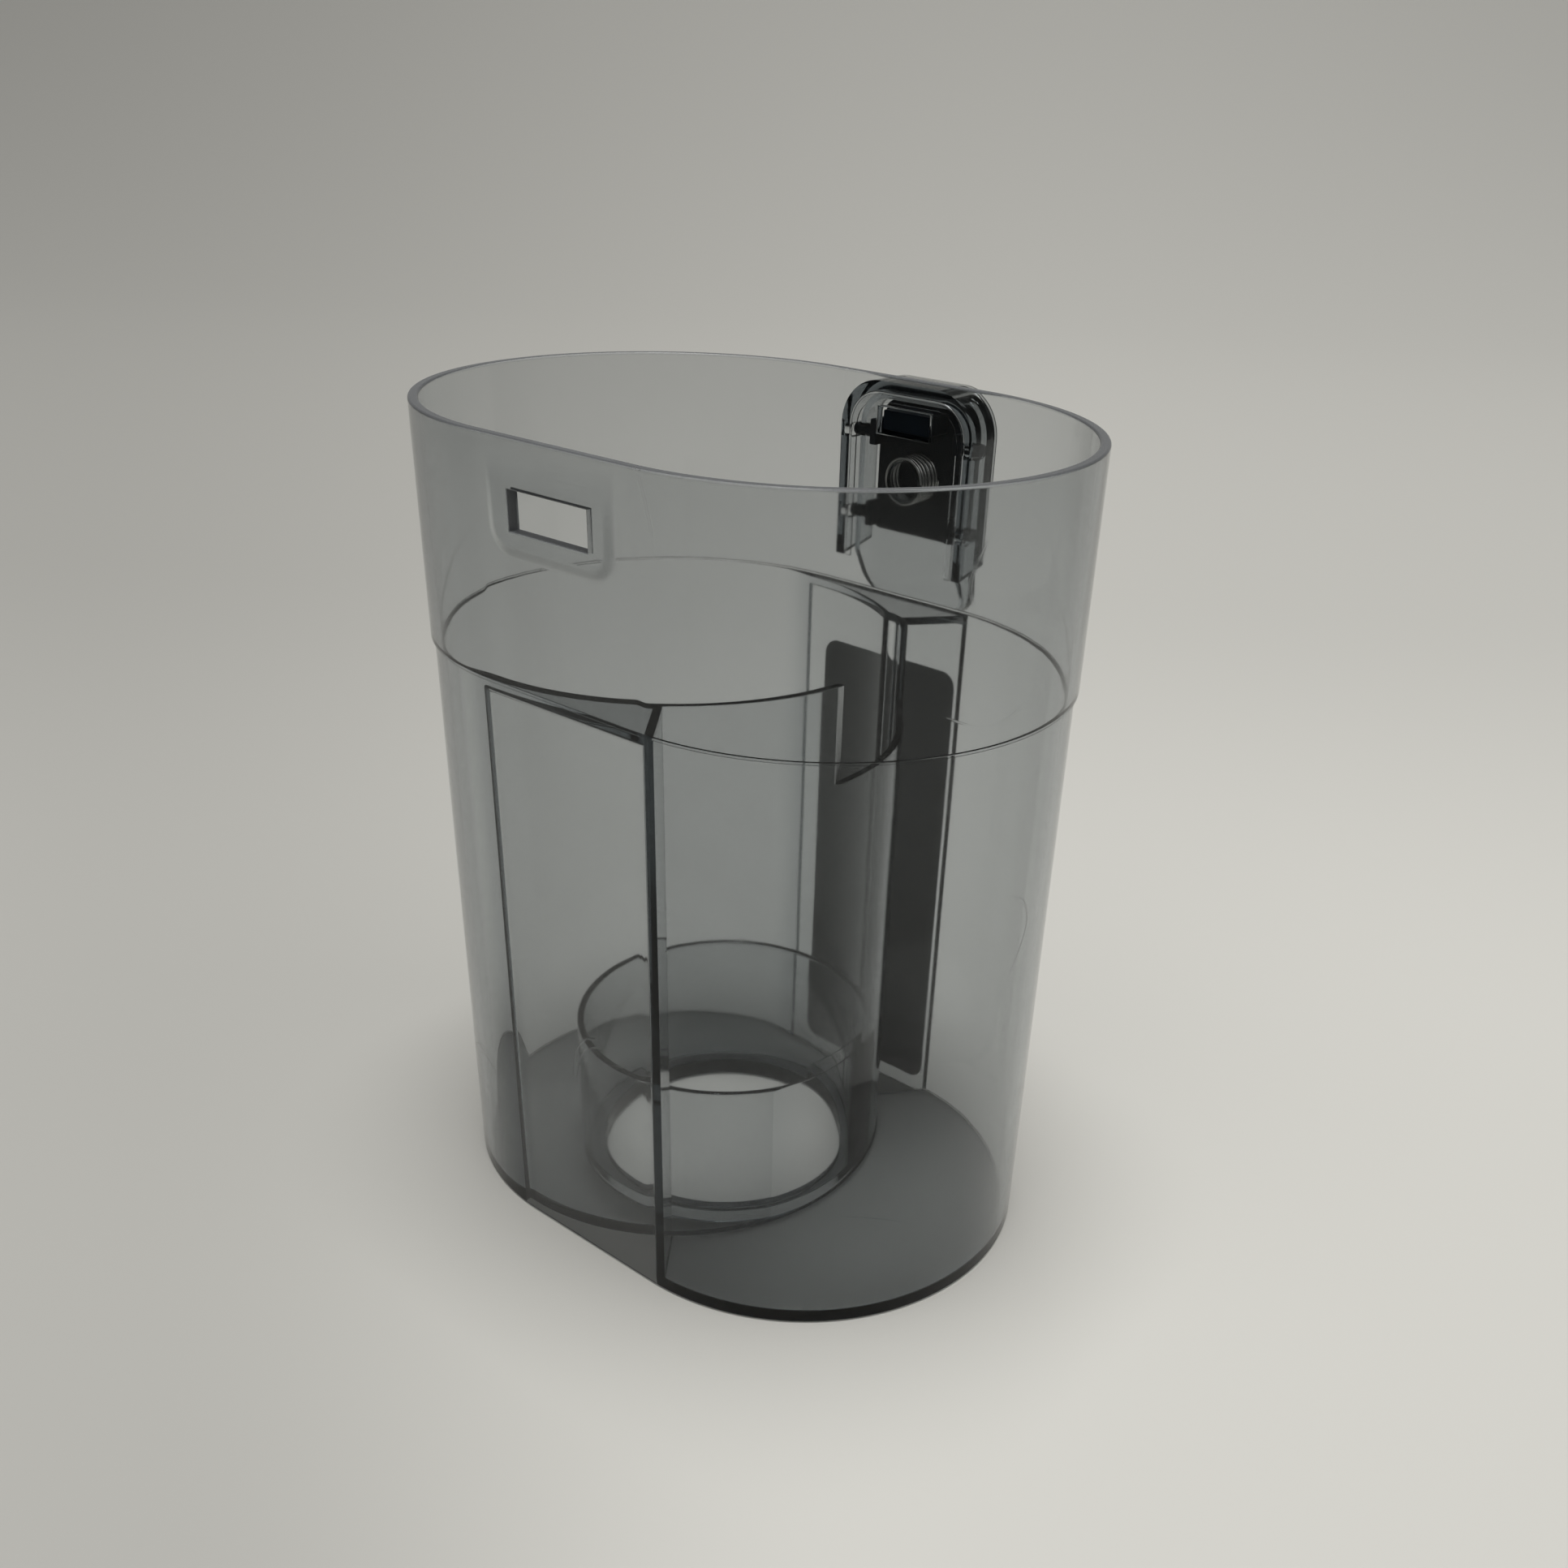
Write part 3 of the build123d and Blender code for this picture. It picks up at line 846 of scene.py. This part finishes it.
def cut_notch(sizes, shell, piece):
    half = (sizes.notch_to - sizes.notch_from) / 2
    middle = (sizes.notch_to + sizes.notch_from) / 2
    outward = Vector((cos(middle), sin(middle), 0.0))
    across = Vector((-sin(middle), cos(middle), 0.0))
    plane = Matrix.Translation((shell.cyclone_x, 0.0, 0.0)) @ Matrix((
        (across.x, 0, outward.x, 0), (across.y, 0, outward.y, 0), (0, 1, 0, 0), (0, 0, 0, 1)))
    width = shell.wide_outer * sin(half)
    low = sizes.ledge_height - sizes.notch_depth
    high = sizes.ledge_height + REACH
    corner = arc(width - sizes.notch_corner, low + sizes.notch_corner, sizes.notch_corner, -pi / 2, 0.0, 12)
    outline = corners((-width, low)) + corner + corners((width, high), (-width, high))
    start = shell.wide_inner * cos(half) - sizes.wall
    cut(piece, "notch", outline, levels(start, shell.wide_outer + sizes.wall), plane)


def cut_windows(sizes, latch, shell, piece):
    soft = sizes.edge_round
    front = window_outline(sizes.window_width, sizes.window_height, sizes.window_z)
    inside, outside = shell.end_radius - sizes.wall, shell.end_radius + sizes.pad_rise
    cut(piece, "window", front, levels(inside, outside, -soft, -soft, REACH, REACH), shell.front)
    back = window_outline(latch.nose_window_width, latch.nose_window_height, latch.nose_window_z)
    cut(piece, "nose_window", back, levels(-sizes.wall, 0.0, -soft, -soft, REACH, REACH), shell.back)


def measures(context):
    sizes = context.scene.bin_shell_sizes
    return sizes, context.scene.bin_latch_sizes, Shell(sizes)


class DUSTBIN_OT_shell(Operator):
    """Builds the one-piece clear moulding"""

    bl_idname = "dustbin.shell"
    bl_label = "Clear shell"

    def execute(self, context):
        sizes, latch, shell = measures(context)
        piece = build_body(sizes, shell)
        add_pad(sizes, shell, piece)
        add_shroud(sizes, latch, shell, piece)
        hollow_chambers(sizes, shell, piece)
        add_collar(sizes, piece)
        cut_notch(sizes, shell, piece)
        cut_windows(sizes, latch, shell, piece)
        smooth(piece)
        plastic = clear_smoke(context.scene.bin_finishes, sizes, shell)
        settle(piece, plastic, "bin", "smoke_clear", "bin_shell")
        return {"FINISHED"}


class DUSTBIN_OT_button_cap(Operator):
    """Builds the clear cap of the release button"""

    bl_idname = "dustbin.button_cap"
    bl_label = "Button cap"

    def execute(self, context):
        latch, shell = measures(context)[1:]
        width, top, corner = cap_frame(latch)
        rear, low, flare = latch.shroud_depth, latch.tongue_bottom, latch.tongue_flare
        inner = rear - latch.cap_back
        start = latch.tongue_start
        outer = rounded(width, low, top, corner, latch.tongue_corner)
        piece = solid("clear_button_cap", outer, levels(0.0, rear + flare), shell.back)
        over, under = top + REACH, low - HAIR
        profile = corners((latch.cap_front, over), (latch.cap_front, latch.skirt_bottom),
                          (inner + flare, under), (rear + flare, under), (rear, start), (rear, over))
        half = width / 2 + REACH
        keep_common(piece, "cap_side", profile, levels(-half, half), shell.side)
        skin = latch.cap_skin
        foot = latch.tongue_corner - skin
        inside = rounded(width - 2 * skin, low + skin, top - skin, corner - skin, foot)
        hollow = solid("cap_hollow", inside, levels(-REACH, rear + flare), shell.back)
        tip = inner + flare * (start - low + REACH) / (start - low)
        reach = corners((-2 * REACH, over), (-2 * REACH, low - REACH), (tip, low - REACH),
                        (inner, start), (inner, over))
        keep_common(hollow, "cap_reach", reach, levels(-half, half), shell.side)
        combine(piece, hollow, "DIFFERENCE")
        for height in (latch.peg_upper, latch.peg_lower):
            hole = ring(latch.peg_out, height, latch.peg_radius + latch.peg_clearance / 3, 32)
            cut(piece, "peg_hole", hole, levels(-half, half), shell.side)
        smooth(piece)
        settle(piece, bpy.data.materials["clear smoke plastic"], "button", "smoke_clear", "release_button")
        return {"FINISHED"}


class DUSTBIN_OT_button_core(Operator):
    """Builds the black core with its nose, spring post and guide pegs"""

    bl_idname = "dustbin.button_core"
    bl_label = "Button core"

    def execute(self, context):
        sizes, latch, shell = measures(context)
        soft = sizes.edge_round
        top, corner = (size - latch.cap_skin - latch.core_fit for size in cap_frame(latch)[1:])
        rear = latch.shroud_depth - latch.cap_back - 0.3 * HAIR
        front = rear - latch.core_plate
        plate = rounded(latch.core_width, latch.core_bottom, top, corner, 4 * soft)
        piece = solid("black_button_core", plate, levels(front, rear, soft, soft), shell.back)
        half = latch.nose_window_width / 2 - latch.nose_clearance
        tall = latch.nose_window_height / 2 - latch.nose_clearance
        nose = rounded(2 * half, latch.nose_window_z - tall, latch.nose_window_z + tall, soft, soft, 4)
        middle = (front + rear) / 2
        add(piece, "nose", nose, levels(-latch.nose_inset, middle, soft), shell.back)
        post = ring(0.0, latch.spring_z, latch.spring_diameter / 2 - latch.wire - latch.spring_fit, 48)
        add(piece, "post", post, levels(front - latch.post_height, middle, soft), shell.back)
        ear_half, tall = (latch.core_width - latch.ear_thickness) / 2, latch.ear_half_height
        for height in (latch.peg_upper, latch.peg_lower):
            for hand in (1.0, -1.0):
                ear = rounded(latch.ear_thickness, height - tall, height + tall, soft, soft, 4)
                ear = [point + Vector((hand * ear_half, 0.0)) for point in ear]
                add(piece, "ear", ear, levels(rear - latch.ear_depth, middle, soft), shell.back)
            reach = latch.shroud_width / 2 - latch.shroud_wall + latch.peg_depth
            peg = ring(latch.peg_out, height, latch.peg_radius, 32)
            for hand in (1.0, -1.0):
                span = levels(ear_half, reach, 0.0, soft) if hand > 0 else levels(-reach, -ear_half, soft)
                add(piece, "peg", peg, span, shell.side)
        smooth(piece)
        settle(piece, black_moulding(context.scene.bin_finishes), "button", "black_plastic", "button_core")
        return {"FINISHED"}


def spring_tree():
    """Geometry nodes for a compression spring whose end turns lie close."""
    group = bpy.data.node_groups.new("compression spring", "GeometryNodeTree")
    for name in ("Coil Radius", "Wire Radius", "Height", "Turns", "Close"):
        group.interface.new_socket(name, in_out="INPUT", socket_type="NodeSocketFloat")
    group.interface.new_socket("Material", in_out="INPUT", socket_type="NodeSocketMaterial")
    group.interface.new_socket("Geometry", in_out="OUTPUT", socket_type="NodeSocketGeometry")
    tree = Tree(group)
    given = tree.nodes.new("NodeGroupInput").outputs
    coil, wire, height, turns, close, steel = (Wire(tree, socket) for socket in list(given)[:6])
    line = tree.node("GeometryNodeCurvePrimitiveLine")
    fine = tree.node("GeometryNodeResampleCurve", Curve=line, Count=SPRING_POINTS)
    along = tree.node("GeometryNodeSplineParameter", output="Factor")
    turned = along * turns * (2 * pi)
    eased = along - (along * (2 * pi)).sine() * close
    spot = tree.node("ShaderNodeCombineXYZ", X=turned.cosine() * coil, Y=eased * height,
                     Z=turned.sine() * coil)
    move = tree.node("GeometryNodeSetPosition", Geometry=fine, Position=spot)
    profile = tree.node("GeometryNodeCurvePrimitiveCircle", Resolution=WIRE_SIDES, Radius=wire)
    tube = tree.node("GeometryNodeCurveToMesh", Curve=move, Profile_Curve=profile, Fill_Caps=True)
    real = tree.node("GeometryNodeRealizeInstances", Geometry=tube)
    paint = tree.node("GeometryNodeSetMaterial", Geometry=real, Material=steel)
    tree.feed(tree.nodes.new("NodeGroupOutput").inputs[0], paint)
    return group


class DUSTBIN_OT_return_spring(Operator):
    """Winds the return spring between the wall and the core"""

    bl_idname = "dustbin.return_spring"
    bl_label = "Return spring"

    def execute(self, context):
        latch, shell = measures(context)[1:]
        piece = linked("wound_return_spring", bpy.data.meshes.new("wound_return_spring"))
        winding = piece.modifiers.new("winding", "NODES")
        winding.node_group = spring_tree()
        room = latch.shroud_depth - latch.cap_back - latch.core_plate
        steel = drawn_steel(context.scene.bin_finishes)
        seat = latch.seat * latch.wire
        values = {"Coil Radius": (latch.spring_diameter - latch.wire) / 2, "Wire Radius": latch.wire / 2,
                  "Height": room - 2 * seat, "Turns": latch.turns, "Close": latch.close, "Material": steel}
        for item in winding.node_group.interface.items_tree:
            if item.in_out == "INPUT":
                winding[item.identifier] = values[item.name]
        bpy.context.view_layer.update()
        bake_modifiers(piece)
        start = shell.body_x, shell.end_radius + seat, latch.spring_z
        piece.data.transform(Matrix.Translation(start))
        smooth(piece, radians(60.0))
        settle(piece, steel, "bin", "spring_steel", "return_spring")
        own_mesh(piece)
        return {"FINISHED"}


class DUSTBIN_OT_back_label(Operator):
    """Lays the bare film label on the back panel"""

    bl_idname = "dustbin.back_label"
    bl_label = "Back label"

    def execute(self, context):
        sizes, label = context.scene.bin_shell_sizes, context.scene.bin_label_sizes
        shell = Shell(sizes)
        outline = rounded(label.width, label.bottom, label.top, label.corner, label.corner)
        step = sizes.ledge_step
        rings = levels(label.lift - step, label.thickness - step, 0.0, label.thickness / 4)
        piece = solid("film_back_label", outline, rings, shell.back)
        smooth(piece)
        settle(piece, satin_film(context.scene.bin_finishes), "bin", "grey_film", "back_label")
        return {"FINISHED"}


def area_light(name, width, height, power):
    light = bpy.data.lights.new(name, "AREA")
    light.shape = "RECTANGLE"
    light.size, light.size_y = width, height
    light.energy = power
    return linked(name, light)


def sweep(stage):
    """Floor that rises behind the object into a backdrop, square to the camera's azimuth."""
    radius = stage.sweep_radius
    profile = [(FLOOR_FRONT, 0.0), (stage.sweep_start, 0.0)]
    profile += [(stage.sweep_start + radius * sin(turn), radius * (1.0 - cos(turn)))
                for turn in (pi / 2 * step / SWEEP_STEPS for step in range(1, SWEEP_STEPS + 1))]
    profile.append((stage.sweep_start + radius, 4 * radius))
    points = [(across, away, height - FLOOR_DROP) for away, height in profile
              for across in (-FLOOR_HALF, FLOOR_HALF)]
    faces = [(2 * step, 2 * step + 1, 2 * step + 3, 2 * step + 2) for step in range(len(profile) - 1)]
    data = bpy.data.meshes.new("floor")
    data.from_pydata(points, [], faces)
    data.transform(Matrix.Rotation(AZIMUTH, 4, "Z"))
    data.shade_smooth()
    return linked("floor", data)


class DUSTBIN_OT_stage(Operator):
    """Sets the pale floor with its painted light and shade, the soft light and the camera"""

    bl_idname = "dustbin.stage"
    bl_label = "Stage"

    def execute(self, context):
        scene, stage = context.scene, context.scene.bin_stage
        floor = sweep(stage)
        ahead = Vector((sin(AZIMUTH), -cos(AZIMUTH), 0.0))
        beside = Vector((cos(AZIMUTH), sin(AZIMUTH), 0.0))
        floor.data.materials.append(floor_with_painted_light(stage, ahead, beside))

        world = bpy.data.worlds.new("surround")
        world.use_nodes = True
        backdrop = world.node_tree.nodes["Background"]
        backdrop.inputs["Color"].default_value = shade(stage.surround)
        backdrop.inputs["Strength"].default_value = stage.surround_strength
        scene.world = world
        before = ahead * (stage.ceiling_start + stage.ceiling_depth / 2)
        light = area_light("ceiling panel", stage.ceiling_width, stage.ceiling_depth, stage.ceiling_power)
        light.location = before + beside * stage.ceiling_shift + Vector((0.0, 0.0, stage.ceiling_height))
        light.rotation_euler = (0.0, 0.0, AZIMUTH)
        above = area_light("top light", stage.top_size, stage.top_size, stage.top_power)
        above.location = (0.0, 0.0, stage.ceiling_height)

        camera = bpy.data.cameras.new("camera")
        camera.sensor_width = SENSOR
        camera.lens = SENSOR * FOCAL_PIXELS / IMAGE_SIDE
        camera.shift_x = (IMAGE_SIDE / 2 - CENTRE_PIXELS[0]) / IMAGE_SIDE
        camera.shift_y = (CENTRE_PIXELS[1] - IMAGE_SIDE / 2) / IMAGE_SIDE
        camera.clip_start = 0.01
        back = cos(ELEVATION) * ahead + Vector((0.0, 0.0, sin(ELEVATION)))
        right = (-back).cross(Vector((0, 0, 1))).normalized()
        up = right.cross(-back)
        level_right = cos(ROLL) * right + sin(ROLL) * up
        level_up = cos(ROLL) * up - sin(ROLL) * right
        holder = linked("camera", camera)
        aim = Matrix((level_right, level_up, back)).transposed().to_4x4()
        holder.matrix_world = Matrix.Translation(CAMERA_SPOT) @ aim
        scene.camera = holder

        scene.view_settings.view_transform = "Standard"
        scene.cycles.max_bounces = 40
        scene.cycles.transmission_bounces = 40
        scene.cycles.glossy_bounces = 8
        return {"FINISHED"}


class DUSTBIN_PT_sidebar(Panel):
    """Lists the dust bin's pieces and their sizes"""

    bl_label = "Dust bin"
    bl_idname = "DUSTBIN_PT_sidebar"
    bl_space_type = "VIEW_3D"
    bl_region_type = "UI"
    bl_category = "Dust bin"

    def draw(self, context):
        for operator in OPERATORS:
            self.layout.operator(operator.bl_idname)
        for name in GROUPS:
            group = getattr(context.scene, name)
            column = self.layout.box().column(align=True)
            for prop in group.__annotations__:
                column.prop(group, prop, text=prop.replace("_", " ").capitalize())


GROUPS = {"bin_shell_sizes": ShellSizes, "bin_latch_sizes": LatchSizes, "bin_label_sizes": LabelSizes,
          "bin_finishes": BinFinishes, "bin_stage": StageSettings}
OPERATORS = (DUSTBIN_OT_stage, DUSTBIN_OT_shell, DUSTBIN_OT_button_cap, DUSTBIN_OT_button_core,
             DUSTBIN_OT_return_spring, DUSTBIN_OT_back_label)


def register():
    for name, group in GROUPS.items():
        bpy.utils.register_class(group)
        setattr(bpy.types.Scene, name, PointerProperty(type=group))
    for item in OPERATORS + (DUSTBIN_PT_sidebar,):
        bpy.utils.register_class(item)


def unregister():
    for item in (DUSTBIN_PT_sidebar,) + OPERATORS[::-1]:
        bpy.utils.unregister_class(item)
    for name, group in GROUPS.items():
        delattr(bpy.types.Scene, name)
        bpy.utils.unregister_class(group)


def main():
    register()
    bpy.ops.dustbin.stage()
    bpy.ops.dustbin.shell()
    bpy.ops.dustbin.button_cap()
    bpy.ops.dustbin.button_core()
    bpy.ops.dustbin.return_spring()
    bpy.ops.dustbin.back_label()


if __name__ == "__main__":
    main()
